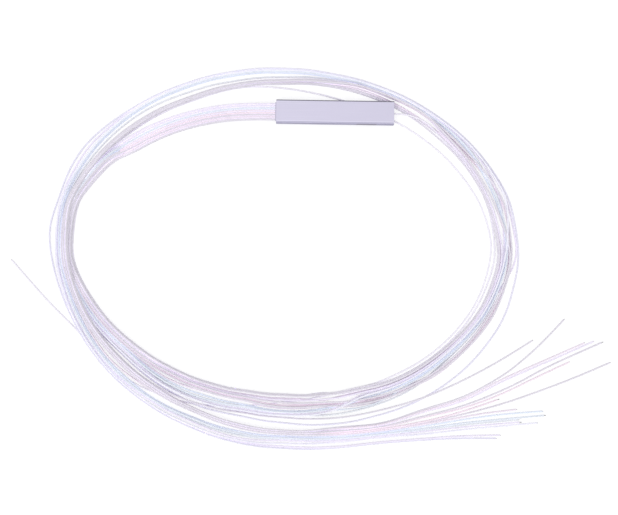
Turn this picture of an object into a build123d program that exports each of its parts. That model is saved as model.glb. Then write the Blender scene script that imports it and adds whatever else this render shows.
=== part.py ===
from build123d import *
import math
import os

os.makedirs("parts", exist_ok=True)

# Fibre splitter, one input to sixteen outputs, in a flat steel case with loose-tube leads.
# Millimetres. The origin is the centre of the steel case, +X runs from the output end to the
# input end, +Y away from the coil, and +Z up. The case lies flat on one strand of its own lead.

# Steel case, a seamed rectangular tube
case_length = 60.0
case_width = 12.0
case_height = 4.0
case_wall = 0.5
case_corner_radius = 0.6
bore_corner_share = 0.35      # bore corner radius as a share of the outside one

# Loose-tube leads
cord_diameter = 0.9
lane_gap = 0.22               # between tubes side by side at the output end
layer_gap = 0.1               # between the two layers of tubes
strand_gap = 0.05             # between the case and the strand under it
lanes = 8
layers = 2
tube_fit = 0.02               # round a tube in its plug hole
arc_run_share = 0.45          # of the shorter run beside a corner, taken up by its arc

# End plugs
plug_depth = 6.0
nose_length = 0.6             # the output plug stands this far out of the case
nose_rim = 0.25               # plug material outside the outermost tubes
input_recess = 0.3            # the input plug sits this far inside the case
tube_inset = 0.5              # the tubes end this far past the plugs, inside

# Optical chip and the glass fibre arrays bonded to its ends
chip_centre_x = 3.0
chip_length = 12.0
block_depth = 1.15            # from the fibre plane down to the underside of chip and arrays
block_margin = 0.5            # glass outside the outermost channels
lid_thickness = 0.8
chip_lid_length = 2.5
output_groove_length = 5.0
output_shelf_length = 3.0
input_groove_length = 3.0
input_shelf_length = 2.0
bed_length = 6.0              # silicone pads under the arrays

# Bare fibres
coated_diameter = 0.25
stripped_diameter = 0.125
channel_gap = 0.03            # between coated fibres at the array
groove_half_angle = 35.0      # degrees
shelf_gap = 0.05              # glue under the coated fibres
bead_height = 0.55
bead_inset = 0.3              # the bead stops this far from the block's sides
bead_overhang = 1.5
straight_tail = 1.0           # fibres run straight this far behind the bead
fan_lead_in = 2.0             # and this far in front of the tube ends

# Coil of all the leads, as a ring lying on the bench
coil_length = 242.0
coil_width = 195.7
coil_centre_x = -25.0
coil_centre_y = -74.85
coil_layers = 2
mound_layers = 2
coil_layer_height = 0.95
band_margin = 0.45            # coil outside the outermost tube where a band of leads joins it
case_gap = 0.3                # between the coil and the sides of the case
groove_gap = 0.35             # beside a single strand where it sinks into the coil
groove_length = 20.0
tail_plane_x = -15.0          # the output tails leave the coil here
coil_inner_edge_y = -155.2    # the coil's outer side beside the first tail

# Worked-out sizes
cord_radius = cord_diameter / 2
lane_pitch = cord_diameter + lane_gap
layer_pitch = cord_diameter + layer_gap
floor_z = -case_height / 2 - cord_diameter - strand_gap
cord_z = floor_z + cord_radius
bore_width = case_width - 2 * case_wall
bore_height = case_height - 2 * case_wall
bore_corner = case_corner_radius * bore_corner_share
tube_end_x = case_length / 2 - plug_depth - tube_inset
channels = lanes * layers
channel_pitch = coated_diameter + channel_gap
block_width = channels * channel_pitch + 2 * block_margin
fibre_z = -stripped_diameter / 2
output_face_x = chip_centre_x - chip_length / 2
input_face_x = chip_centre_x + chip_length / 2
shelf_z = fibre_z - coated_diameter / 2 - shelf_gap


def save(shape, node):
    shape.label = node
    export_step(shape, f"parts/{node}.step")


def block(x_from, x_to, width, z_from, z_to):
    """A box between two places along the case, centred across it."""
    centre = ((x_from + x_to) / 2, 0, (z_from + z_to) / 2)
    return Pos(*centre) * Box(abs(x_to - x_from), width, abs(z_to - z_from))


def rounded_bar(length, width, height, radius, x_centre):
    """A bar along X with its four long edges rounded."""
    section = Plane.YZ * RectangleRounded(width, height, radius)
    return Pos(x_centre - length / 2, 0, 0) * extrude(section, length)


def corner_radii(points):
    """The arc at each corner is as large as its two runs allow."""
    spots = [Vector(*p) for p in points]
    runs = [b - a for a, b in zip(spots, spots[1:])]
    radii = []
    for before, after in zip(runs, runs[1:]):
        half_turn = math.radians(before.get_angle(after) / 2)
        shorter = min(before.length, after.length)
        radii.append(arc_run_share * shorter / math.tan(half_turn))
    return radii


def tube(points, diameter, name):
    """A round cord along straight runs joined by tangent arcs."""
    radii = corner_radii(points)
    path = FilletPolyline(*points, radius=radii)
    section = Plane(origin=path @ 0, z_dir=path % 0) * Circle(diameter / 2)
    solid = sweep(section, path=path)
    expected = math.pi * diameter**2 / 4 * path.length
    print(
        f"{name}: length {path.length:.1f}, smallest radius {min(radii):.1f},"
        f" volume / (section x length) {solid.volume / expected:.4f}"
    )
    return solid


def beside(points, across, up):
    """The route of a tube that runs beside the given one, across to its left and up."""
    flat = [Vector(x, y, 0) for x, y, z in points]
    ways = [(b - a).normalized() for a, b in zip(flat, flat[1:])]
    sides = [Vector(-w.Y, w.X, 0) for w in ways]
    joined = []
    for before, after in zip([sides[0], *sides], [*sides, sides[-1]]):
        joined.append((before + after) / (1 + before.dot(after)))
    return [
        (x + across * side.X, y + across * side.Y, z + up)
        for (x, y, z), side in zip(points, joined)
    ]


def lane_places():
    """Across and up offsets of the sixteen tubes, two layers of eight."""
    for lane in range(lanes):
        for layer in range(layers):
            across = (lane - (lanes - 1) / 2) * lane_pitch
            up = ((layers - 1) / 2 - layer) * layer_pitch
            yield lane, layer, across, up


# Routes of the cords, chosen point by point. The output leads leave the case as one flat band,
# come down to the bench and sink into the coil at its top left.
lead_route = [
    (-23.5, 0.0, 0.0),
    (-38.0, 0.0, 0.0),
    (-52.5, -0.5, -0.4),
    (-67.0, -2.7, -1.1),
    (-81.0, -6.5, -1.75),
    (-94.2, -12.0, -2.0),
    (-106.4, -19.1, -2.0),
]

# The sixteen output tails, top to bottom as they leave the coil, flat on the bench.
tail_routes = [
    [(6, -157.1), (27, -151.8), (48, -145.4), (68, -136.2), (88, -125.1), (103.2, -115)],
    [(6, -158.1), (27, -154.45), (48, -150.9), (68, -145.2), (88, -133.8), (99, -124.8),
     (109.6, -114.8), (119.2, -104)],
    [(6, -159.1), (27, -155.45), (48, -151.9), (68, -146.3), (88, -134.9), (109, -125.5),
     (129.8, -115.9)],
    [(6, -160.1), (27, -156.45), (48, -153), (68, -147.4), (88, -136.2), (104, -129),
     (119.6, -122), (134.5, -115)],
    [(6, -161.1), (27, -157.45), (48, -154.1), (68, -149.6), (93, -138.9), (109.1, -129.4),
     (124.4, -122.1), (138.6, -115.6)],
    [(6, -162.1), (27, -158.45), (48, -155.2), (68, -150.7), (88.4, -142.7),
     (106.5, -133.3), (122.2, -125.8)],
    [(6, -163.1), (27, -159.45), (48, -156.3), (68, -152.3), (85.7, -145.7)],
    [(6, -164.1), (27, -160.45), (48, -157.4), (68, -153.6), (88, -148), (104.5, -142),
     (124.8, -134.1), (143.1, -125.8)],
    [(6, -165.1), (27, -161.45), (48, -158.5), (68, -154.9), (82, -152.2), (95.5, -150.6)],
    [(6, -166.1), (27, -162.45), (48, -159.6), (68, -156.2), (89, -152.9), (108.9, -151.3)],
    [(6, -167.1), (27, -163.45), (48, -160.7), (68, -157.8), (89, -155.6), (109.6, -153.4)],
    [(6, -168.1), (27, -164.45), (48, -161.8), (68, -158.9), (82, -157.3), (96.7, -155.8)],
    [(6, -169.1), (27, -165.45), (48, -162.9), (68, -160), (82.5, -158.5), (97.2, -157.1)],
    [(6, -170.1), (27, -166.45), (48, -164), (68, -161.3), (88, -159.2), (106.3, -157.3)],
    [(6, -171.1), (27, -167.55), (48, -165.1), (68, -164.4), (87.2, -163.9)],
    [(6, -172.1), (27, -168.75), (48, -166.3), (68, -165.6), (85.2, -165.6)],
]

# The input lead leaves the other end of the case and joins the coil at once. Its last turn
# passes under the case, and its cut end leaves the coil at the far left.
input_lead_route = [(23.5, 0, 0), (32.5, 0, 0), (41.5, -1.3, -0.6), (49.2, -5.8, -1.0)]
input_strand_route = [
    (-48, 13), (-34, 13.1), (-20, 11.9), (-6, 9.4), (8, 5.6), (22, 0.4), (35, -5.6),
    (47, -13.3), (58, -22.4), (67.5, -33.2), (75, -44.5), (79.6, -56.5), (82, -69),
]
input_tail_route = [
    (-120.3, -123.4), (-131.2, -112.8), (-145, -99.6), (-155.5, -88.2), (-164.7, -77.9),
]

# Outlines of the coil as shares of its length and width, from its centre
outer_shares = [
    (-0.021, -0.4995), (-0.103, -0.485), (-0.186, -0.4525), (-0.260, -0.4085),
    (-0.331, -0.351), (-0.388, -0.279), (-0.438, -0.195), (-0.475, -0.098),
    (-0.4975, 0.004), (-0.498, 0.091), (-0.467, 0.186), (-0.428, 0.285),
    (-0.380, 0.348), (-0.314, 0.403), (-0.236, 0.444), (-0.136, 0.4785),
    (-0.037, 0.4965), (0.045, 0.4995), (0.136, 0.479), (0.236, 0.438),
    (0.326, 0.380), (0.405, 0.299), (0.463, 0.203), (0.494, 0.1065),
    (0.5, 0.004), (0.4915, -0.088), (0.450, -0.177), (0.376, -0.255),
    (0.285, -0.323), (0.178, -0.3765),
]
inner_shares = [
    (-0.370, 0.236), (-0.411, 0.188), (-0.439, 0.122), (-0.451, 0.045),
    (-0.446, -0.031), (-0.415, -0.105), (-0.360, -0.181), (-0.285, -0.248),
    (-0.202, -0.306), (-0.112, -0.342), (-0.012, -0.355), (0.0785, -0.348),
    (0.169, -0.322), (0.260, -0.275), (0.343, -0.206), (0.405, -0.115),
    (0.437, -0.011), (0.438, 0.096), (0.415, 0.183), (0.368, 0.2725),
    (0.302, 0.353), (0.223, 0.4155), (0.128, 0.445), (0.029, 0.456),
    (-0.070, 0.446), (-0.169, 0.421), (-0.260, 0.380), (-0.318, 0.3395),
]
mound_shares = [
    (-0.376, 0.311), (-0.421, 0.250), (-0.455, 0.168), (-0.477, 0.086),
    (-0.479, -0.006), (-0.465, -0.093), (-0.438, -0.164), (-0.397, -0.236),
    (-0.380, -0.226), (-0.415, -0.154), (-0.442, -0.0825), (-0.458, -0.006),
    (-0.455, 0.076), (-0.434, 0.158), (-0.397, 0.229), (-0.357, 0.280),
]


def coil_point(share):
    return (coil_centre_x + share[0] * coil_length, coil_centre_y + share[1] * coil_width)


def coil_face(outline):
    """A flat face inside a curve whose two ends a straight edge joins."""
    points = [Vector(*p) for p in outline]
    return Face(Wire([Spline(*points).edge(), Line(points[-1], points[0]).edge()]))


def strand_groove(start, towards):
    """The straight groove in which a single strand leaves the coil, from its hidden end."""
    way = Vector(towards[0] - start[0], towards[1] - start[1], 0)
    turn = math.degrees(math.atan2(way.Y, way.X))
    height = coil_layers * coil_layer_height
    cut = Box(
        groove_length,
        cord_diameter + 2 * groove_gap,
        height,
        align=(Align.MIN, Align.CENTER, Align.MIN),
    )
    return Pos(start[0], start[1], floor_z) * Rot(0, 0, turn) * cut


# Steel case
outside = rounded_bar(case_length, case_width, case_height, case_corner_radius, 0)
bore = rounded_bar(case_length, bore_width, bore_height, bore_corner, 0)
save(outside - bore, "steel_case")

# Output plug, moulded round the band of sixteen tubes, with a nose that stands out of the case
nose_width = (lanes - 1) * lane_pitch + cord_diameter + 2 * nose_rim
nose_height = (layers - 1) * layer_pitch + cord_diameter + 2 * nose_rim
output_plug_centre = -case_length / 2 + plug_depth / 2
output_plug = rounded_bar(plug_depth, bore_width, bore_height, bore_corner, output_plug_centre)
nose_from = -case_length / 2 - nose_length
output_plug += block(nose_from, output_plug_centre, nose_width, -nose_height / 2, nose_height / 2)
hole = Rot(0, 90, 0) * Cylinder(cord_radius + tube_fit, 2 * (plug_depth + nose_length))
for lane, layer, across, up in lane_places():
    output_plug -= Pos(output_plug_centre, across, up) * hole
save(output_plug, "output_end_plug")

# Input plug, with one hole
input_plug_length = plug_depth - input_recess
input_plug_centre = case_length / 2 - input_recess - input_plug_length / 2
input_plug = rounded_bar(input_plug_length, bore_width, bore_height, bore_corner, input_plug_centre)
input_plug -= Pos(input_plug_centre, 0, 0) * hole
save(input_plug, "input_end_plug")

# Splitter chip, with a glass lid on each end that stiffens the joint to its array
save(block(output_face_x, input_face_x, block_width, -block_depth, 0), "splitter_chip")
output_lid_x = output_face_x + chip_lid_length
input_lid_x = input_face_x - chip_lid_length
save(block(output_face_x, output_lid_x, block_width, 0, lid_thickness), "chip_lid_output")
save(block(input_lid_x, input_face_x, block_width, 0, lid_thickness), "chip_lid_input")

# Fibre arrays, each a glass base with V-grooves and a shelf, and a lid over the grooves
groove_depth = stripped_diameter / 2 * (1 + 1 / math.sin(math.radians(groove_half_angle)))
groove_half_width = groove_depth * math.tan(math.radians(groove_half_angle))


def array_parts(face_x, groove_run, shelf_run, grooves_at):
    """Base and lid of an array that leaves the chip's face by the signed runs given."""
    shelf_x = face_x + groove_run
    back_x = shelf_x + shelf_run
    base = block(face_x, back_x, block_width, -block_depth, 0)
    base -= block(shelf_x, back_x + shelf_run, 2 * block_width, shelf_z, block_depth)
    notch = Polygon(
        (-groove_half_width, 0), (0, -groove_depth), (groove_half_width, 0), align=None
    )
    for y in grooves_at:
        base -= Pos(min(face_x, shelf_x), y, 0) * extrude(Plane.YZ * notch, abs(groove_run))
    return base, block(face_x, shelf_x, block_width, 0, lid_thickness)


channel_places = [(c - (channels - 1) / 2) * channel_pitch for c in range(channels)]
output_base, output_lid = array_parts(
    output_face_x, -output_groove_length, -output_shelf_length, channel_places
)
input_base, input_lid = array_parts(input_face_x, input_groove_length, input_shelf_length, [0])
save(output_base, "output_array_base")
save(output_lid, "output_array_lid")
save(input_base, "input_array_base")
save(input_lid, "input_array_lid")

# Bare fibres: stripped in the grooves, coated behind them, fanned out to the tube ends
output_shelf_x = output_face_x - output_groove_length
output_bead_x = output_shelf_x - output_shelf_length - bead_overhang
input_shelf_x = input_face_x + input_groove_length
input_bead_x = input_shelf_x + input_shelf_length + bead_overhang


def stripped_end(face_x, shelf_x, y):
    pin = Rot(0, 90, 0) * Cylinder(stripped_diameter / 2, abs(shelf_x - face_x))
    return Pos((face_x + shelf_x) / 2, y, fibre_z) * pin


output_fibres = []
for lane, layer, across, up in lane_places():
    y = channel_places[layers * lane + layer]
    route = [
        (output_shelf_x, y, fibre_z),
        (output_bead_x - straight_tail, y, fibre_z),
        (-tube_end_x + fan_lead_in, across, up),
        (-tube_end_x, across, up),
    ]
    coated = tube(route, coated_diameter, f"output fibre {layers * lane + layer + 1}")
    output_fibres.append(coated + stripped_end(output_face_x, output_shelf_x, y))
save(Compound(children=output_fibres), "bare_output_fibres")

input_fibre_route = [
    (input_shelf_x, 0, fibre_z),
    (input_bead_x + straight_tail, 0, fibre_z),
    (tube_end_x - fan_lead_in, 0, 0),
    (tube_end_x, 0, 0),
]
input_fibre = tube(input_fibre_route, coated_diameter, "input fibre")
input_fibre += stripped_end(input_face_x, input_shelf_x, 0)
save(input_fibre, "bare_input_fibre")

# Glue beads that hold the coated fibres on the shelves, and silicone pads under the arrays
bead_width = block_width - 2 * bead_inset
bead_top = shelf_z + bead_height
output_bead = block(output_shelf_x, output_bead_x, bead_width, shelf_z, bead_top)
for fibre in output_fibres:
    output_bead -= fibre
save(output_bead, "output_glue_bead")
input_bead = block(input_shelf_x, input_bead_x, bead_width, shelf_z, bead_top) - input_fibre
save(input_bead, "input_glue_bead")

bed_bottom = -bore_height / 2
output_bed_x = output_face_x - bed_length
input_bed_x = input_face_x + input_groove_length + input_shelf_length
save(block(output_bed_x, output_face_x, block_width, bed_bottom, -block_depth), "output_silicone_pad")
save(
    block(input_bed_x - bed_length, input_bed_x, block_width, bed_bottom, -block_depth),
    "input_silicone_pad",
)

# Output leads, from inside the plug to the coil
for lane, layer, across, up in lane_places():
    number = layers * lane + layer + 1
    lead = tube(beside(lead_route, -across, up), cord_diameter, f"output lead {number}")
    save(lead, f"output_lead_{number:02d}")

# Output tails, from the coil to their cut ends
for number, route in enumerate(tail_routes, 1):
    start = (tail_plane_x, route[0][1])
    points = [(x, y, cord_z) for x, y in [start, *route]]
    save(tube(points, cord_diameter, f"output tail {number}"), f"output_tail_{number:02d}")

# Input lead, the strand under the case and the cut end
save(tube(input_lead_route, cord_diameter, "input lead"), "input_lead")
for name, route in (("input_strand", input_strand_route), ("input_tail", input_tail_route)):
    points = [(x, y, cord_z) for x, y in route]
    save(tube(points, cord_diameter, name), name)

# Coil: a ring of all the leads, higher at the left where both turns lie on each other
band_half = ((lanes - 1) * lane_pitch + cord_diameter) / 2 + band_margin
lead_end = Vector(*lead_route[-1][:2])
lead_way = (lead_end - Vector(*lead_route[-2][:2])).normalized()
lead_side = Vector(-lead_way.Y, lead_way.X, 0)
left_edge = lead_end + lead_side * band_half
right_edge = lead_end - lead_side * band_half
last_tail_y = tail_routes[-1][0][1] - cord_radius - band_margin / 2
outer_points = [(tail_plane_x, last_tail_y)]
outer_points += [coil_point(share) for share in outer_shares]
outer_points += [(tail_plane_x, coil_inner_edge_y)]
inner_points = [(left_edge.X, left_edge.Y)]
inner_points += [coil_point(share) for share in inner_shares]
inner_points += [(right_edge.X, right_edge.Y)]
ring = coil_face(outer_points) - coil_face(inner_points)
ring_height = coil_layers * coil_layer_height
coil = Pos(0, 0, floor_z) * extrude(ring, ring_height, dir=(0, 0, 1))
mound = Face(Wire([Spline(*[coil_point(s) for s in mound_shares], periodic=True).edge()]))
mound_height = mound_layers * coil_layer_height
coil += Pos(0, 0, floor_z + ring_height) * extrude(mound, mound_height, dir=(0, 0, 1))
coil -= block(
    -case_length / 2 - case_gap,
    case_length / 2 + case_gap,
    case_width + 2 * case_gap,
    -case_height / 2 - strand_gap,
    case_height,
)
for route in (input_strand_route, input_strand_route[::-1], input_tail_route):
    coil -= strand_groove(route[0], route[1])
coil -= strand_groove(input_lead_route[-1], input_lead_route[-2])
save(coil, "fibre_coil")
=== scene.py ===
import math
import bpy
import numpy as np
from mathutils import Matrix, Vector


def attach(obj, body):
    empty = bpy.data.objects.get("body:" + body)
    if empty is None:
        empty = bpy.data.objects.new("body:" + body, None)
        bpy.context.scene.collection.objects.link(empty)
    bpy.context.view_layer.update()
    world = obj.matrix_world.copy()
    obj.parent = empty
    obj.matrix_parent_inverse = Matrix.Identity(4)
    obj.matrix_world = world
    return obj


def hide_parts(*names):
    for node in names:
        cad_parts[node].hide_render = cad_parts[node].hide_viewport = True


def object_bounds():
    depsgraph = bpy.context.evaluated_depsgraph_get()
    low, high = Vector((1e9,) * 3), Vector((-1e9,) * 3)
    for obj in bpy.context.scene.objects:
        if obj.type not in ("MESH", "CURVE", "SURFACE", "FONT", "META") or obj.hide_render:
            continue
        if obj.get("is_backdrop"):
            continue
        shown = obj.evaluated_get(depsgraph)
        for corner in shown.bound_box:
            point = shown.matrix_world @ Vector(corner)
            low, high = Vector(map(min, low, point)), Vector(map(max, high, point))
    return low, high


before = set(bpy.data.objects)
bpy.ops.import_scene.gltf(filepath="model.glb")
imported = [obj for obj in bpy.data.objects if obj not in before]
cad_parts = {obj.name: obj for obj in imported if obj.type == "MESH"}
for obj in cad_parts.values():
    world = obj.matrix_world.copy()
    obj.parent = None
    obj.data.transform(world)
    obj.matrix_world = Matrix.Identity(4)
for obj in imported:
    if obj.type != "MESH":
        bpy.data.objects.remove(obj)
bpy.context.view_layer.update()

bpy.ops.object.select_all(action="DESELECT")
mm = 0.001
scene = bpy.context.scene


# The view: straight down on the coil, nearly half a metre above the bench, turned a little, as
# the splitter lies a degree out of square.
camera_place = (-12.16 * mm, -74.17 * mm, 438.2 * mm)
view_turn = math.radians(0.9)
bpy.ops.object.camera_add(location=camera_place, rotation=(0, 0, view_turn))
camera = bpy.context.object
camera.name = "camera"
camera.data.lens = 50
camera.data.sensor_width = 36
camera.data.clip_start = 1 * mm
scene.camera = camera
scene.view_settings.view_transform = "Standard"


# The bench and the light: a plain white bench, a soft overhead sky that dims towards the
# horizon, and one broad lamp from the back left.
class Value:
    """A shader value: sums, differences and products of it add the Math nodes."""

    def __init__(self, tree, socket=None):
        self.tree = tree
        self.socket = socket

    def node(self, kind, settings=None, inputs=None, output=0):
        """Any node, from its type, its settings, and its sockets' values or links."""
        made = self.tree.nodes.new(kind)
        for key, setting in (settings or {}).items():
            setattr(made, key, setting)
        for key, value in (inputs or {}).items():
            if isinstance(value, Value):
                self.tree.links.new(value.socket, made.inputs[key])
            else:
                made.inputs[key].default_value = value
        return Value(self.tree, made.outputs[output] if len(made.outputs) else None)

    def maths(self, operation, first, second):
        return self.node("ShaderNodeMath", {"operation": operation}, {0: first, 1: second})

    def __add__(self, other):
        return self.maths("ADD", self, other)

    __radd__ = __add__

    def __sub__(self, other):
        return self.maths("SUBTRACT", self, other)

    def __rsub__(self, other):
        return self.maths("SUBTRACT", other, self)

    def __mul__(self, other):
        return self.maths("MULTIPLY", self, other)

    __rmul__ = __mul__

    def above(self, edge, softness):
        """A mask that rises from 0 to 1 across an edge."""
        sockets = {"Value": self, "From Min": edge - softness, "From Max": edge + softness}
        settings = {"interpolation_type": "SMOOTHSTEP"}
        return self.node("ShaderNodeMapRange", settings, sockets)


def srgb(red, green, blue):
    """A colour as it looks on screen, 0 to 255 a channel, as the shaders take it."""
    shares = [channel / 255 for channel in (red, green, blue)]
    linear = [s / 12.92 if s <= 0.04045 else ((s + 0.055) / 1.055) ** 2.4 for s in shares]
    return (*linear, 1.0)


def new_material(name):
    """An empty material, and a value to start its nodes from."""
    material = bpy.data.materials.new(name)
    material.use_nodes = True
    material.node_tree.nodes.clear()
    return material, Value(material.node_tree)


def mixed(mask, first, second):
    """One colour where the mask is 0, the other where it is 1."""
    first_colour, second_colour, colour_out = 6, 7, 2      # a Mix node's sockets for colours
    sockets = {"Factor": mask, first_colour: first, second_colour: second}
    return mask.node("ShaderNodeMix", {"data_type": "RGBA"}, sockets, output=colour_out)


def stretched(start, scale, detail=3.0, roughness=0.5):
    """Noise on the piece's own coordinates, with a size of its own along each axis."""
    spots = start.node("ShaderNodeTexCoord", output="Object")
    placed = start.node("ShaderNodeMapping", inputs={"Vector": spots, "Scale": scale})
    sockets = {"Vector": placed, "Scale": 1.0, "Detail": detail, "Roughness": roughness}
    return start.node("ShaderNodeTexNoise", inputs=sockets)


def finish_material(material, shader):
    """Gives a material its shader and hands the material back."""
    shader.node("ShaderNodeOutputMaterial", inputs={"Surface": shader})
    return material


floor_z = -2.95 * mm
floor_size = 4.0
bench_glow = 0.7              # added to the bench's own colour, it makes the bench white
horizon_light = 0.5           # share of the overhead light
horizon_height = 0.45
horizon_softness = 0.5
lamp_tilt = (math.radians(28), math.radians(-24), 0)
bpy.ops.mesh.primitive_plane_add(size=floor_size, location=(0, 0, floor_z))
bench = bpy.context.object
bench.name = "bench"
material, start = new_material("white_bench")
lit = start.node("ShaderNodeBsdfDiffuse", inputs={"Color": srgb(158, 158, 160)})
glow = start.node("ShaderNodeEmission", inputs={"Color": (1, 1, 1, 1), "Strength": bench_glow})
both = start.node("ShaderNodeAddShader", inputs={0: lit, 1: glow})
plain = start.node("ShaderNodeBsdfDiffuse", inputs={"Color": srgb(222, 222, 226)})
path = start.node("ShaderNodeLightPath", output="Is Camera Ray")
seen = path
for ray in ("Is Glossy Ray", "Is Transmission Ray"):
    seen = seen.maths("MAXIMUM", seen, start.node("ShaderNodeLightPath", output=ray))
shader = start.node("ShaderNodeMixShader", inputs={0: seen, 1: plain, 2: both})
bench.data.materials.append(finish_material(material, shader))
bench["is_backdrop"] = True

sky = bpy.data.worlds.new("soft_sky")
sky.use_nodes = True
sky.node_tree.nodes.clear()
scene.world = sky
start = Value(sky.node_tree)
ways = start.node("ShaderNodeTexCoord", output="Generated")
height = start.node("ShaderNodeSeparateXYZ", inputs={"Vector": ways}, output="Z")
overhead = height.above(edge=horizon_height, softness=horizon_softness)
dimmed = horizon_light + (1 - horizon_light) * overhead
path = start.node("ShaderNodeLightPath", output="Is Camera Ray")
strength = dimmed.maths("MAXIMUM", dimmed, path)
shader = start.node("ShaderNodeBackground", inputs={"Color": (1, 1, 1, 1), "Strength": strength})
start.node("ShaderNodeOutputWorld", inputs={"Surface": shader})

bpy.ops.object.light_add(type="SUN", rotation=lamp_tilt)
lamp = bpy.context.object
lamp.name = "broad_lamp"
lamp.data.energy = 0.9
lamp.data.angle = math.radians(50)


# Loose-tube leads: seventeen round tubes of milky plastic, 0.9 mm thick, each with one coloured
# fibre inside. Sixteen leave the output end as a flat band two layers deep, go one and a half
# times round a loose coil and end cut at the lower right; the input lead goes the other way.
output_count = 16
cord_diameter = 0.9 * mm
cord_z = floor_z + cord_diameter / 2
lane_pitch = 1.12 * mm
layer_pitch = 1.0 * mm
lanes = 8
hub = (-24.98 * mm, -75.14 * mm)
station = 7.5                 # degrees between the points of a turn

# The coil's outer edge, in pixels of the photograph, read off point by point. A smooth closed
# curve through them, the sum of a few waves round the hub, is the outline.
hub_pixel = (284, 259)
outline_pixels = [
    (519, 258.5), (519, 238.5), (515, 214), (507, 192), (492.5, 169.5), (472.5, 143), (452, 125),
    (421.5, 105.5), (391.5, 91.5), (361, 80.5), (330.5, 73), (300, 69), (277, 68.5),
    (207.5, 79), (168, 89.5), (138.5, 102.5), (118.5, 116.5), (99, 129), (67, 186.5),
    (54.5, 218), (54.5, 257.5), (61.5, 295.5), (71, 319), (83, 339), (99, 360.5), (118.5, 382.5),
    (138.5, 398), (168, 416), (197.5, 430), (237, 442.5), (277, 447.5), (308, 448.5), (401, 430),
    (432, 405), (472.5, 370), (501, 322.5), (513, 300),
]
outline_waves = 5
pixels_per_mm = 1.949         # at the coil's middle height
outline_step = 15             # degrees
outline_angles = np.arange(0, 360 + outline_step, outline_step)


def wave_columns(angles):
    """A constant, then the cosine and sine of each wave, at each angle."""
    columns = [np.ones(len(angles))]
    for wave in range(1, outline_waves + 1):
        columns += [np.cos(wave * angles), np.sin(wave * angles)]
    return np.stack(columns, axis=1)


edge_right = np.array([x - hub_pixel[0] for x, y in outline_pixels])
edge_up = np.array([hub_pixel[1] - y for x, y in outline_pixels])
edge_columns = wave_columns(np.arctan2(edge_up, edge_right))
wave_sizes = np.linalg.lstsq(edge_columns, np.hypot(edge_right, edge_up), rcond=None)[0]
outline_radii = wave_columns(np.radians(outline_angles)) @ wave_sizes / pixels_per_mm

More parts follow.
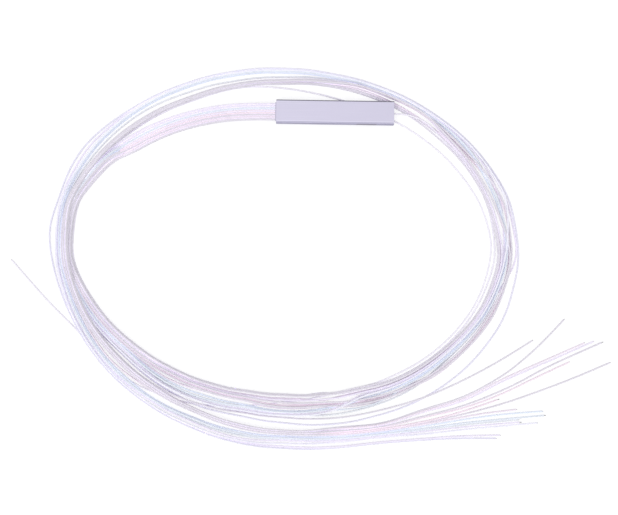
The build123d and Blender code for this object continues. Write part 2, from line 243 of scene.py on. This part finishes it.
# How deep each group of leads lies inside the coil's outline, in mm, at each angle of its turns:
# outer edge, inner edge, and the leads from outside to inside.
turn_groups = {
    150: [(10.3, 13.9, (16, 15, 14, 13, 12, 11, 10, 9, 8, 7, 6, 5, 4)), (14.4, 16.4, (3, 2, 1))],
    165: [(4.2, 9.8, (16, 15, 14, 13, 12, 11, 10, 9, 8, 7, 6, 5, 4, 3, 2, 1))],
    180: [(4.0, 9.2, (16, 15, 14, 13, 12, 11, 10, 9, 8, 7, 6, 5, 4, 3, 2, 1))],
    195: [(6.7, 15.9, (16, 15, 14, 13, 12, 11, 10, 9, 8, 7, 6, 5, 4, 3, 2, 1))],
    210: [(11.8, 13.4, (16, 15, 14)), (13.9, 18.5, (13, 12, 11, 10, 9, 8, 7, 6, 5)),
          (18.6, 21.0, (4, 3, 2, 1))],
    225: [(11.6, 12.4, (16,)), (12.8, 14.6, (15, 14, 13, 12)), (14.9, 17.6, (11, 10, 9)),
          (18.5, 22.6, (8, 7, 6, 5, 4, 3)), (22.8, 24.1, (2, 1))],
    240: [(11.6, 12.4, (16,)), (13.6, 16.0, (15, 14, 13, 12)), (16.0, 18.5, (11, 10)),
          (19.5, 23.8, (9, 8, 7, 6, 5, 4, 3)), (24.1, 25.7, (2, 1))],
    255: [(12.7, 13.5, (16,)), (15.2, 20.0, (15, 14, 13, 12, 11, 10)),
          (20.8, 25.2, (9, 8, 7, 6, 5, 4, 3)), (25.7, 27.2, (2, 1))],
    270: [(13.0, 13.8, (16,)), (16.9, 20.0, (15, 14, 13, 12, 11, 10)),
          (20.3, 24.7, (9, 8, 7, 6, 5)), (24.9, 26.5, (4, 3)), (27.2, 28.8, (2, 1))],
    285: [(12.2, 13.0, (16,)), (17.3, 20.0, (12, 15, 14, 13)), (20.3, 21.6, (11, 10)),
          (22.0, 25.2, (9, 8, 7, 6, 5)), (25.5, 27.2, (4, 3)), (28.0, 29.3, (2, 1))],
    300: [(10.5, 11.3, (16,)), (15.9, 17.5, (12, 11)), (17.7, 22.1, (9, 8, 7, 6, 5)),
          (21.5, 25.0, (10, 15, 14, 13)), (24.7, 26.1, (4, 3)), (26.7, 28.8, (2, 1))],
    315: [(6.2, 7.0, (16,)), (13.4, 14.6, (12,)), (14.0, 16.5, (9, 8, 7, 6, 5)),
          (16.9, 18.5, (11, 10)), (18.5, 20.0, (15, 14, 13)), (20.0, 21.1, (4, 3)),
          (21.5, 23.2, (2, 1))],
    330: [(2.3, 3.1, (16,)), (9.3, 12.4, (9, 8, 7, 6, 5)), (12.5, 15.2, (12, 11, 10)),
          (15.4, 17.5, (15, 14, 13, 4, 3)), (17.7, 19.0, (2, 1))],
    345: [(-0.1, 0.7, (16,)), (5.0, 7.3, (9, 8, 7)), (7.5, 8.5, (6, 5)),
          (9.0, 10.4, (12, 11, 10)), (10.5, 12.9, (15, 14, 13, 4, 3)), (12.6, 14.0, (2, 1))],
    360: [(0.3, 1.1, (16,)), (1.2, 2.0, (15,)), (3.3, 5.0, (9, 8, 7, 6, 5)),
          (5.5, 6.8, (12, 11, 10)), (7.0, 9.4, (14, 13, 4, 3)), (9.4, 11.1, (2, 1))],
    375: [(-0.1, 0.7, (16,)), (0.9, 2.4, (15, 14)), (2.5, 4.3, (9, 8, 7)),
          (4.4, 7.0, (13, 12, 11, 10)), (7.7, 9.3, (6, 5)), (9.7, 11.8, (4, 3, 2, 1))],
    390: [(0.6, 3.0, (16, 15, 14, 13)), (3.0, 5.0, (12, 11, 10)), (5.1, 6.4, (9, 8)),
          (6.5, 8.5, (7, 6, 5)), (8.4, 10.4, (4, 3, 2, 1))],
    405: [(0.0, 3.6, (16, 15, 14, 13, 12, 11, 10)), (3.7, 5.6, (9, 8, 7)),
          (5.0, 6.2, (6, 5, 4)), (6.3, 8.9, (3, 2, 1))],
    420: [(-0.3, 2.8, (16, 15, 14, 13, 12, 11, 10)), (2.6, 4.3, (9, 8, 7, 6, 5, 4)),
          (4.5, 7.2, (3, 2, 1))],
    435: [(0.0, 3.1, (16, 15, 14, 13, 11, 10)), (3.0, 3.8, (12,)),
          (4.1, 6.9, (9, 8, 7, 6, 5, 4, 3, 2, 1))],
    450: [(-0.4, 2.8, (16, 15, 14, 13, 11, 10)), (4.0, 4.8, (12,)),
          (5.6, 8.4, (9, 8, 7, 6, 5, 4, 3, 2, 1))],
    465: [(-0.8, 2.3, (16, 15, 14, 13, 11, 10)), (4.0, 4.8, (12,)),
          (5.6, 8.6, (9, 8, 7, 6, 5, 4, 3, 2, 1))],
    480: [(-0.2, 3.0, (16, 15, 14, 13, 11, 10)), (4.5, 5.3, (12,)),
          (7.2, 9.9, (9, 8, 7, 6, 5, 4, 3, 2, 1))],
    495: [(0.4, 4.2, (16, 15, 14, 13, 11, 10)), (4.8, 5.6, (12,)),
          (7.7, 10.8, (9, 8, 7, 6, 5, 4, 3, 2, 1))],
    510: [(-1.3, -0.5, (16,)), (0.5, 1.3, (15,)), (2.3, 4.7, (14, 13, 11, 10)),
          (5.3, 6.1, (12,)), (7.2, 10.4, (9, 8, 7, 6, 5, 4, 3, 2, 1))],
    525: [(-0.5, 0.3, (16,)), (0.2, 1.8, (15, 14, 13)), (1.8, 3.6, (11, 10, 12)),
          (3.6, 7.5, (9, 8, 7, 6, 5, 4, 3, 2, 1))],
    540: [(-1.8, -1.0, (16,)), (0.0, 2.0, (15, 14, 13)), (1.9, 3.7, (12, 11, 10)),
          (3.6, 8.2, (9, 8, 7, 6, 5, 4, 3, 2, 1))],
    555: [(0.0, 2.5, (16, 15, 14, 13)), (2.6, 5.1, (12, 11, 10)),
          (5.1, 9.3, (9, 8, 7, 6, 5, 4, 3, 2, 1))],
    570: [(0.0, 2.3, (16, 15, 14, 13)), (2.5, 4.6, (12, 11, 10)), (4.9, 5.7, (9,)),
          (7.4, 10.8, (8, 7, 6, 5, 4, 3, 2, 1))],
    585: [(0.0, 1.9, (16, 15, 14)), (2.3, 4.9, (13, 12, 11, 10)),
          (7.4, 11.5, (9, 8, 7, 6, 5, 4, 3, 2, 1))],
    600: [(-0.5, 1.6, (16, 15, 14)), (2.5, 3.8, (13, 12)), (4.3, 5.6, (11, 10)),
          (7.7, 10.2, (9, 8, 7, 6, 5, 4, 3, 2)), (12.4, 13.2, (1,))],
    615: [(-1.0, 1.1, (16, 15, 14)), (1.3, 2.1, (13,)), (2.6, 5.7, (12, 11, 10)),
          (6.2, 9.8, (9, 8, 7, 6, 5, 4, 3, 2)), (14.8, 15.6, (1,))],
    630: [(0.0, 1.8, (16, 15)), (2.5, 3.4, (14,)), (4.1, 7.2, (13, 12, 11, 10)),
          (7.3, 10.3, (9, 8, 7, 6, 5, 4, 3, 2)), (15.8, 16.6, (1,))],
    645: [(0.0, 1.8, (16, 15)), (3.0, 3.8, (14,)), (4.1, 7.4, (13, 12, 11, 10)),
          (7.6, 11.0, (9, 8, 7, 6, 5, 4, 3, 2)), (15.4, 16.2, (1,))],
}
first_station = 150
last_station = 637.5

# The input lead's own depth, in mm, at each angle of its two turns, which go the other way.
input_first_turn = {
    37.5: 8.8, 30: 9.9, 15: 11.6, 0: 12.4, -15: 15.6, -30: 18.7, -45: 22.8, -60: 26.9,
    -75: 28.2, -90: 27.6, -105: 26.4, -120: 24.4, -135: 22.8, -150: 19.3, -165: 15.3,
    -180: 8.9, -195: 9.6, -210: 10.3, -225: 10.7, -240: 9.8, -247.5: 8.9,
}
input_second_turn = {
    -367.5: 15.4, -375: 17.1, -390: 20.5, -405: 24.7, -420: 27.7, -435: 27.7, -450: 24.5,
    -465: 19.0, -480: 12.5, -495: 7.0, -502.5: 4.2,
}

# Single leads that stand out of their group, as (lead, angle): depth in mm.
stray_depths = {(16, 517.5): -1.3, (15, 517.5): 0.6, (16, 532.5): -3.2}


def outline_radius(angle):
    """The coil's outline at an angle round the hub, in mm from it."""
    return np.interp(angle % 360, outline_angles, outline_radii)


def group_depth(number, groups):
    """The depth of one lead among those of its group, which lie close in the group's width."""
    radius = cord_diameter / mm / 2
    slack_share = 0.03
    for outer, inner, members in groups:
        if number in members:
            slack = slack_share * (inner - outer)
            first, last = outer + radius + slack, inner - radius - slack
            if len(members) == 1 or last < first:
                return (outer + inner) / 2
            return first + (last - first) * members.index(number) / (len(members) - 1)


class Turn:
    """The coiled stretch of one lead: its angles, its wanted depths and its heights at first."""

    def __init__(self, angles, depths, heights):
        self.angles = angles
        self.depths = depths
        self.heights = heights


# Before the leads settle they are held up in tiers, in mm above the bench: the second turn over
# the first, and flatter beside the case and where the tails leave the coil.
tiers = 3
beside_case_from = 397        # degrees
second_turn_from = 495
leaving_from = 600
tier_height = 0.8
tier_height_beside_case = 0.4
tier_height_leaving = 0.5
second_turn_height = 1.2


def output_turn(number):
    """The turn of one output lead, from the case's left round to its tail."""
    angles = np.arange(first_station, last_station + station / 2, station)
    known = sorted(turn_groups)
    depths = [group_depth(number, turn_groups[angle]) for angle in known]
    depths = np.interp(angles, known, depths)
    for (lead, angle), depth in stray_depths.items():
        if lead == number:
            depths[int((angle - first_station) / station)] = depth
    tier = number % tiers
    first, second = tier_height * tier, second_turn_height + tier_height * tier
    heights = np.where(angles < second_turn_from, first, second)
    beside_case = (angles > beside_case_from) & (angles < second_turn_from)
    heights = np.where(beside_case, tier_height_beside_case * tier, heights)
    heights = np.where(angles > leaving_from, tier_height_leaving * tier, heights)
    return Turn(angles, depths, heights)


def input_turn(table):
    """One of the input lead's turns, from its highest angle down, on the bench."""
    known = sorted(table)
    angles = np.arange(max(table), min(table) - station / 2, -station)
    depths = np.interp(angles, known, [table[angle] for angle in known])
    return Turn(angles, depths, np.zeros(len(angles)))


turns = [output_turn(number) for number in range(1, output_count + 1)]
turns += [input_turn(input_first_turn), input_turn(input_second_turn)]


# How the leads settle: the sinking is in mm a round, and each pull or straightening moves a point
# by a share of what is left to go.
settling_rounds = 400
sinking_share = 0.8           # of the rounds; in the rest the leads only ease apart
sink = 0.02
pull_sinking = 0.5
pull_easing = 0.1
straightening = 0.3
pushes_a_round = 2
push_overshoot = 1.6          # times the way that two leads lack, to part them in fewer rounds
smallest_gap = 1e-6           # mm, so that two leads in one place don't divide by zero
first_jitter = 0.02           # mm
jitter_seed = 4
corner_leads = 3              # leads 1 to 3 pass under the case's corner, flat on the bench
corner_stretch = (397, 431)   # degrees
case_stretch = (404, 429)     # where the other leads stay clear of the case
case_depth = 4.1              # mm, how deep in the coil the case's side lies there


def settle(turns):
    """Lets the leads of the coil sink to the bench and push each other aside, in mm.

    Each point of a turn moves across the coil and up and down at its own angle. It is drawn to
    its wanted depth and to the straight line between its neighbours, and leads that are nearer
    than their thickness at one angle, or halfway between two, push each other apart. Leads that
    swap places between two angles can still pass through each other there."""
    size = cord_diameter / mm
    counts = [len(turn.angles) for turn in turns]
    starts = np.cumsum([0, *counts])
    angles = np.concatenate([turn.angles for turn in turns])
    wanted = np.concatenate([turn.depths for turn in turns])
    place = np.stack([wanted, np.concatenate([turn.heights for turn in turns])], axis=1)
    place += first_jitter * np.random.default_rng(jitter_seed).standard_normal(place.shape)
    own = np.concatenate([[n] * count for n, count in enumerate(counts)])
    bins = np.round(angles / station).astype(int) % round(360 / station)
    low = (own < corner_leads) & (angles > corner_stretch[0]) & (angles < corner_stretch[1])
    beside = (own < output_count) & ~low & (angles > case_stretch[0]) & (angles < case_stretch[1])
    ends = np.zeros(len(angles), bool)
    ends[starts[:-1]] = True
    ends[starts[1:] - 1] = True
    inside = np.flatnonzero(~ends)

    # Which points meet: those at one angle, and the middles of spans between the same two angles.
    spans = {}
    for at in range(len(angles) - 1):
        if own[at] == own[at + 1]:
            pair = (at, at + 1) if angles[at + 1] > angles[at] else (at + 1, at)
            spans.setdefault(bins[pair[0]], []).append(pair)
    meetings = []
    for number in range(bins.max() + 1):
        here = np.flatnonzero(bins == number)
        meetings += [(a, a, b, b) for i, a in enumerate(here) for b in here[i + 1:]]
    for pairs in spans.values():
        meetings += [(*a, *b) for i, a in enumerate(pairs) for b in pairs[i + 1:]]
    meetings = np.array(meetings)

    for round_number in range(settling_rounds):
        sinking = round_number < settling_rounds * sinking_share
        pull = pull_sinking if sinking else pull_easing
        if sinking:
            place[:, 1] -= sink
        place[:, 0] += pull * (wanted - place[:, 0])
        middle = (place[inside - 1] + place[inside + 1]) / 2
        place[inside, 1] += straightening * (middle[:, 1] - place[inside, 1])
        for push_number in range(pushes_a_round):
            spots = (place[meetings[:, 0]] + place[meetings[:, 1]]) / 2
            others = (place[meetings[:, 2]] + place[meetings[:, 3]]) / 2
            away = spots - others
            apart = np.hypot(away[:, 0], away[:, 1])
            near = np.flatnonzero(apart < size)
            push = (size - apart[near]) / np.maximum(apart[near], smallest_gap) / 2
            moves = away[near] * push[:, None]
            total = np.zeros_like(place)
            hits = np.zeros(len(place))
            for column, sign in ((0, 1), (1, 1), (2, -1), (3, -1)):
                np.add.at(total, meetings[near, column], sign * moves / 2)
                np.add.at(hits, meetings[near, column], 0.5)
            place += total * (push_overshoot / np.maximum(hits, 1))[:, None]
            place[:, 1] = np.maximum(place[:, 1], 0)
            place[low, 1] = 0.0
            place[beside, 0] = np.minimum(place[beside, 0], case_depth - size / 2)
    return [place[a:b] for a, b in zip(starts, starts[1:])]


settled = settle(turns)


def turn_points(turn, places):
    """The control points of a settled turn, a little outside its curve, which cuts corners."""
    own_share = 0.75          # of a point of the curve that its nearest control point gives
    widen = 1 / (own_share + (1 - own_share) * math.cos(math.radians(station)))
    points = []
    for angle, (depth, height) in zip(turn.angles, places):
        radius = (outline_radius(angle) - depth) * mm * widen
        way = math.radians(angle) + view_turn
        spot = (hub[0] + radius * math.cos(way), hub[1] + radius * math.sin(way))
        points.append((*spot, cord_z + height * mm))
    return points


# The routes that aren't coiled, in mm, as the solids have them. The tails' first points follow
# the photograph more closely than the solids do.
lead_route = [
    (-23.5, 0, 0), (-38, 0, 0), (-52.5, -0.5, -0.4), (-67, -2.7, -1.1), (-81, -6.5, -1.75),
    (-94.2, -12, -2), (-106.4, -19.1, -2),
]
tail_routes = [
    [(6, -156.3), (27, -151.8), (48, -145.4), (68, -136.2), (88, -125.1), (103.2, -115)],
    [(6, -160.8), (27, -159.3), (48, -151), (68, -145.2), (88, -133.8), (99, -124.8),
     (109.6, -114.8), (119.2, -104)],
    [(6, -161.4), (27, -159.7), (48, -151.7), (68, -146.3), (88, -134.9), (109, -125.5),
     (129.8, -115.9)],
    [(6, -162), (27, -160.2), (48, -152.3), (68, -147.4), (88, -136.2), (104, -129),
     (119.6, -122), (134.5, -115)],
    [(6, -162.7), (27, -160.6), (48, -154.6), (68, -149.6), (93, -138.9), (109.1, -129.4),
     (124.4, -122.1), (138.6, -115.6)],
    [(6, -163.3), (27, -161), (48, -155.2), (68, -150.7), (88.4, -142.7), (106.5, -133.3),
     (122.2, -125.8)],
    [(6, -163.9), (27, -161.5), (48, -157.6), (68, -152.3), (85.7, -145.7)],
    [(6, -164.4), (27, -161.9), (48, -158.2), (68, -153.6), (88, -148), (104.5, -142),
     (124.8, -134.1), (143.1, -125.8)],
    [(6, -164.9), (27, -162.3), (48, -158.8), (68, -154.9), (82, -152.2), (95.5, -150.6)],
    [(6, -165.7), (27, -163.3), (48, -160), (68, -156.2), (89, -152.9), (108.9, -151.3)],
    [(6, -166.5), (27, -163.9), (48, -161.2), (68, -157.8), (89, -155.6), (109.6, -153.4)],
    [(6, -167.2), (27, -164.5), (48, -161.8), (68, -158.9), (82, -157.3), (96.7, -155.8)],
    [(6, -167.9), (27, -165), (48, -162.6), (68, -160), (82.5, -158.5), (97.2, -157.1)],
    [(6, -168.7), (27, -165.7), (48, -164.2), (68, -161.3), (88, -159.2), (106.3, -157.3)],
    [(6, -170.9), (27, -168), (48, -166.2), (68, -164.4), (87.2, -163.9)],
    [(6, -171.5), (27, -168.7), (48, -166.9), (68, -165.6), (85.2, -165.6)],
]
input_lead_route = [(23.5, 0, 0), (32.5, 0, 0), (41.5, -1.3, -0.6), (49.2, -5.8, -1)]
input_strand_route = [
    (-48, 13), (-34, 13.1), (-20, 11.9), (-6, 9.4), (8, 5.6), (22, 0.4), (35, -5.6),
    (47, -13.3), (58, -22.4), (67.5, -33.2), (75, -44.5), (79.6, -56.5), (82, -69),
]
input_tail_route = [
    (-120.3, -123.4), (-131.2, -112.8), (-145, -99.6), (-155.5, -88.2), (-164.7, -77.9),
]


def lead_points(across, up):
    """The lead route moved to one lane of the band, in metres."""
    spots = np.array(lead_route, float)
    ways = np.diff(spots[:, :2], axis=0)
    ways /= np.linalg.norm(ways, axis=1)[:, None]
    ways = np.array([ways[0], *(ways[:-1] + ways[1:]), ways[-1]])
    ways /= np.linalg.norm(ways, axis=1)[:, None]
    spots *= mm
    spots[:, 0] += across * ways[:, 1]
    spots[:, 1] -= across * ways[:, 0]
    spots[:, 2] += up
    return [tuple(spot) for spot in spots]


def on_bench(route, heights=()):
    """A flat route as points of a lead on the bench, the first of them raised by the heights."""
    heights = [*heights, *[0.0] * (len(route) - len(heights))]
    return [(x * mm, y * mm, cord_z + z * mm) for (x, y), z in zip(route, heights)]


def lay_cord(name, points):
    """A smooth round tube through one open spline with these control points."""
    curve = bpy.data.curves.new(name, "CURVE")
    curve.dimensions = "3D"
    spline = curve.splines.new("NURBS")
    spline.points.add(len(points) - 1)
    for spot, point in zip(points, spline.points):
        point.co = (*spot, 1.0)
    spline.order_u = 3
    spline.use_endpoint_u = True
    curve.resolution_u = 4
    curve.bevel_depth = cord_diameter / 2
    curve.bevel_resolution = 3
    curve.use_fill_caps = True
    cord = bpy.data.objects.new(name, curve)
    scene.collection.objects.link(cord)
    return cord


# Milky plastic in faint tints, by lead, from the colour of the fibre inside.
tints = {
    "pale": (231, 228, 237), "frost": (233, 232, 243), "lavender": (231, 225, 240),
    "rose": (231, 221, 232), "pink": (234, 220, 230), "blue": (222, 230, 244),
    "slate": (219, 225, 234), "grey": (221, 224, 228), "dusk": (217, 213, 222),
    "iris": (221, 219, 234),
}
lead_tints = [
    "dusk", "dusk", "rose", "lavender", "dusk", "pink", "pink", "dusk", "rose",
    "blue", "slate", "grey", "lavender", "frost", "lavender", "iris", "pale",
]
tint_darker = 6
tint_lighter = 5
crowding_reach = 1.2 * mm     # leads this near to each other get a brighter painted glow, for the light they pass each other
crowding_edge = 0.24
crowding_softness = 0.2


def tube_material(name, tint):
    """Milky plastic with a painted glow, faint all over and brighter where other leads crowd it
    in, for the light they pass it.
    """
    material, start = new_material(name)
    cloud = stretched(start, scale=(90, 90, 90), detail=2.0)
    darker = srgb(*[channel - tint_darker for channel in tint])
    lighter = srgb(*[min(channel + tint_lighter, 255) for channel in tint])
    fine = stretched(start, scale=(1400, 1400, 1400), detail=2.0)
    open_share = start.node(
        "ShaderNodeAmbientOcclusion", {"samples": 8}, {"Distance": crowding_reach}, output=1
    )
    # mask of the painted glow: 1 where other leads crowd the surface in
    painted_glow_mask = 1 - open_share.above(edge=crowding_edge, softness=crowding_softness)
    bump = start.node(
        "ShaderNodeBump", inputs={"Strength": 0.06, "Distance": 0.05 * mm, "Height": fine}
    )
    shader = start.node(
        "ShaderNodeBsdfPrincipled",
        inputs={
            "Base Color": mixed(cloud, darker, lighter),
            "Roughness": 0.42 + 0.14 * cloud,
            "Normal": bump,
            "IOR": 1.46,
            "Subsurface Weight": 0.25,
            "Subsurface Radius": (1.0, 1.0, 1.0),
            "Subsurface Scale": 0.3 * mm,
            # painted glow: dim where the tube lies open, bright where other leads crowd it in
            "Emission Color": mixed(painted_glow_mask, srgb(72, 70, 78), srgb(238, 234, 246)),
            "Emission Strength": 0.5,
        },
    )
    return finish_material(material, shader)


def plain_material(name, dark, light, roughness):
    """A finish with a fine cloud of two close colours and a slight grain."""
    material, start = new_material(name)
    cloud = stretched(start, scale=(400, 400, 400), detail=4.0)
    fine = stretched(start, scale=(3000, 3000, 3000), detail=2.0)
    bump = start.node(
        "ShaderNodeBump", inputs={"Strength": 0.15, "Distance": 0.02 * mm, "Height": fine}
    )
    shader = start.node(
        "ShaderNodeBsdfPrincipled",
        inputs={
            "Base Color": mixed(cloud, srgb(*dark), srgb(*light)),
            "Roughness": roughness + 0.1 * fine,
            "Normal": bump,
        },
    )
    return finish_material(material, shader)


# Cut ends: each tube is cut off square, so its face shows the bore and the coated fibre that lies
# in it. The bore is not hollowed out: a dark disc just proud of the face is painted shade for it.
# At a few ends the fibre stands out by a millimetre.
# painted shade: the dark colour of the disc that stands for the hollow bore
bore_shade_material = plain_material(
    "tube_bore_shade", dark=(92, 90, 98), light=(108, 106, 114), roughness=0.6
)
fibre_end_material = plain_material(
    "fibre_end", dark=(96, 94, 100), light=(128, 125, 132), roughness=0.3
)
bore_radius = 0.28 * mm
fibre_radius = 0.16 * mm
bore_depth = 0.4 * mm
face_proud = 0.01 * mm
short_bare = 0.4 * mm
long_bare = 1.1 * mm
long_fibres = (5, 7, 11, 13)  # the output leads with a long bare fibre
cut_end_sides = 24
smooth_below = math.radians(40)


def cut_end(name, points, bared):
    """The cut face of a lead: a disc of painted shade for its bore, and the fibre in it, bared a
    little.
    """
    tip, before = np.array(points[-1]), np.array(points[-2])
    way = (tip - before) / np.linalg.norm(tip - before)
    turned = (math.pi / 2, 0, math.atan2(way[1], way[0]) + math.pi / 2)
    pieces = []
    for radius, proud, material in (
        (bore_radius, face_proud, bore_shade_material), (fibre_radius, bared, fibre_end_material)
    ):
        middle = tip + way * (proud - bore_depth) / 2
        bpy.ops.mesh.primitive_cylinder_add(
            vertices=cut_end_sides, radius=radius, depth=bore_depth + proud,
            location=middle, rotation=turned,
        )
        piece = bpy.context.object
        piece.data.materials.append(material)
        bpy.ops.object.shade_smooth_by_angle(angle=smooth_below)
        pieces.append(piece)
    pieces[0].select_set(True)
    bpy.ops.object.join()
    bpy.ops.object.transform_apply(location=True, rotation=True, scale=True)
    piece = bpy.context.object
    piece.name = name
    piece.select_set(False)
    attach(piece, "root")
    return piece


# The output leads, from the end plug round the coil to their cut ends. The photograph shows them
# from end to end. Measured along it, a lead through the middle of the bundles is 1.06 m, and the
# sixteen are cut alike.
tube_materials = {name: tube_material(f"milky_tube_{name}", tint) for name, tint in tints.items()}
tail_lift = 0.75              # mm, of every second tail, over its neighbours in the coil
tail_lift_share = 0.6         # of that, at the third point
for number in range(1, output_count + 1):
    lane, layer = divmod(number - 1, 2)
    across = (lane - (lanes - 1) / 2) * lane_pitch
    up = (0.5 - layer) * layer_pitch
    points = lead_points(across, up)
    points += turn_points(turns[number - 1], settled[number - 1])
    raised = tail_lift if number % 2 else 0.0
    points += on_bench(tail_routes[number - 1], (raised, raised, raised * tail_lift_share))
    cord = lay_cord(f"output_cord_{number:02d}", points)
    cord.data.materials.append(tube_materials[lead_tints[number - 1]])
    bared = long_bare if number in long_fibres else short_bare
    end = cut_end(f"output_fibre_end_{number:02d}", points, bared)
    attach(cord, "root")
    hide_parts(f"output_lead_{number:02d}", f"output_tail_{number:02d}", "fibre_coil")

# The input lead, the same tube and 1.01 m by the same measurement. Between its two turns, which
# come last in the list of turns, it passes under the case.
points = [(x * mm, y * mm, z * mm) for x, y, z in input_lead_route]
points += turn_points(turns[-2], settled[-2])
points += on_bench(input_strand_route)
points += turn_points(turns[-1], settled[-1])
points += on_bench(input_tail_route)
cord = lay_cord("input_cord", points)
cord.data.materials.append(tube_materials[lead_tints[-1]])
end = cut_end("input_fibre_end", points, short_bare)
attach(cord, "root")
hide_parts("input_lead", "input_strand", "input_tail", "fibre_coil")


# Steel case: a flat rectangular tube of thin stainless steel, drawn and cut to length, with a
# fine grain along it and rounded long edges. The bands are how far its painted shade (darker
# sides, back top edge and front strip) and its painted highlight (the lighter front fold) reach
# in from its sides and its top, and the edge shade is a stretch of painted shade on the front
# edge by the coil.
case_half_width = 6 * mm
case_half_height = 2 * mm
side_band, side_softness = 0.25 * mm, 0.15 * mm
back_band, back_softness = 0.55 * mm, 0.25 * mm
top_band, top_softness = 0.5 * mm, 0.3 * mm
fold_highlight_band, strip_shade_band, edge_shade_band = 1.45 * mm, 1.05 * mm, 0.3 * mm
front_softness = 0.1 * mm
edge_shade_from, edge_shade_to, edge_shade_softness = 11 * mm, 21 * mm, 0.8 * mm


def split(start, axis):
    """The place along one axis of the piece's own coordinates."""
    spots = start.node("ShaderNodeTexCoord", output="Object")
    return start.node("ShaderNodeSeparateXYZ", inputs={"Vector": spots}, output=axis)


material, start = new_material("drawn_steel")
along, across, up = (split(start, axis) for axis in "XYZ")
grain = stretched(start, scale=(60, 6000, 6000), detail=4.0, roughness=0.6)
cloud = stretched(start, scale=(60, 160, 160), detail=3.0)
streaks = stretched(start, scale=(18, 2600, 2600), detail=0.0)
scratch = streaks.above(edge=0.73, softness=0.02)
# painted shade: both sides of the case darker
short_of_back = 1 - across.above(case_half_width - side_band, side_softness)
side = 1 - short_of_back * across.above(-case_half_width + side_band, side_softness)
# painted shade: the back top edge darker
back_edge_shade = across.above(case_half_width - back_band, back_softness)
back_edge_shade *= up.above(case_half_height - top_band, top_softness)
front = 0 - across
# painted highlight: a lighter line along the front fold
fold_highlight = front.above(case_half_width - fold_highlight_band, front_softness)
# painted shade: the front strip darker
strip_shade = front.above(case_half_width - strip_shade_band, front_softness)
# painted shade: a stretch of the front edge by the coil darker
edge_shade = along.above(edge_shade_from, edge_shade_softness) * (1 - along.above(edge_shade_to, edge_shade_softness))
edge_shade *= front.above(case_half_width - edge_shade_band, front_softness)
steel = mixed(grain, srgb(204, 200, 220), srgb(214, 210, 230))
steel = mixed(0.5 * cloud, steel, srgb(201, 198, 217))
# over the steel's own grain and cloud: the painted highlight, then the painted shades
steel = mixed(fold_highlight, steel, srgb(220, 217, 236))
steel = mixed(strip_shade, steel, srgb(180, 177, 199))
steel = mixed(side, steel, srgb(160, 157, 182))
steel = mixed(edge_shade, steel, srgb(140, 137, 154))
steel = mixed(back_edge_shade, steel, srgb(120, 118, 130))
steel = mixed(0.35 * scratch, steel, srgb(226, 224, 238))
rough = 0.34 + 0.16 * grain - 0.08 * scratch
bump = start.node(
    "ShaderNodeBump", inputs={"Strength": 0.12, "Distance": 0.02 * mm, "Height": grain}
)
shader = start.node(
    "ShaderNodeBsdfPrincipled",
    inputs={"Base Color": steel, "Metallic": 0.85, "Roughness": rough, "Normal": bump},
)
steel_material = finish_material(material, shader)


def dress(node, material):
    """Gives a CAD node its finish."""
    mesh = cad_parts[node].data
    mesh.materials.clear()
    mesh.materials.append(material)


dress("steel_case", steel_material)


# End plugs: grey plastic moulded round the tubes, which closes the case at each end. The output
# plug stands a little out of the case, the input plug is flush with it.
plug_material = plain_material(
    "plug_plastic", dark=(188, 184, 202), light=(204, 200, 216), roughness=0.5
)
for node in ("output_end_plug", "input_end_plug"):
    dress(node, plug_material)


# Inside the case: a polished silicon chip glued between two glass fibre arrays. Coated fibres run
# from the arrays to the tubes, held by beads of glue, and silicone pads bed the arrays.
chip_material = plain_material(
    "polished_silicon", dark=(52, 56, 68), light=(66, 70, 84), roughness=0.12
)
glass_material = plain_material(
    "array_glass", dark=(205, 222, 224), light=(222, 234, 236), roughness=0.06
)
coating_material = plain_material(
    "fibre_coating", dark=(196, 186, 222), light=(214, 206, 236), roughness=0.25
)
glue_material = plain_material(
    "cured_glue", dark=(214, 196, 140), light=(228, 212, 160), roughness=0.2
)
silicone_material = plain_material(
    "white_silicone", dark=(222, 222, 218), light=(234, 234, 230), roughness=0.6
)
for material, nodes in (
    (chip_material, ["splitter_chip"]),
    (glass_material, ["chip_lid_output", "chip_lid_input", "output_array_base",
                      "output_array_lid", "input_array_base", "input_array_lid"]),
    (coating_material, ["bare_output_fibres", "bare_input_fibre"]),
    (glue_material, ["output_glue_bead", "input_glue_bead"]),
    (silicone_material, ["output_silicone_pad", "input_silicone_pad"]),
):
    for node in nodes:
        dress(node, material)

seen = [[float(x) for x in corner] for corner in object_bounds()]
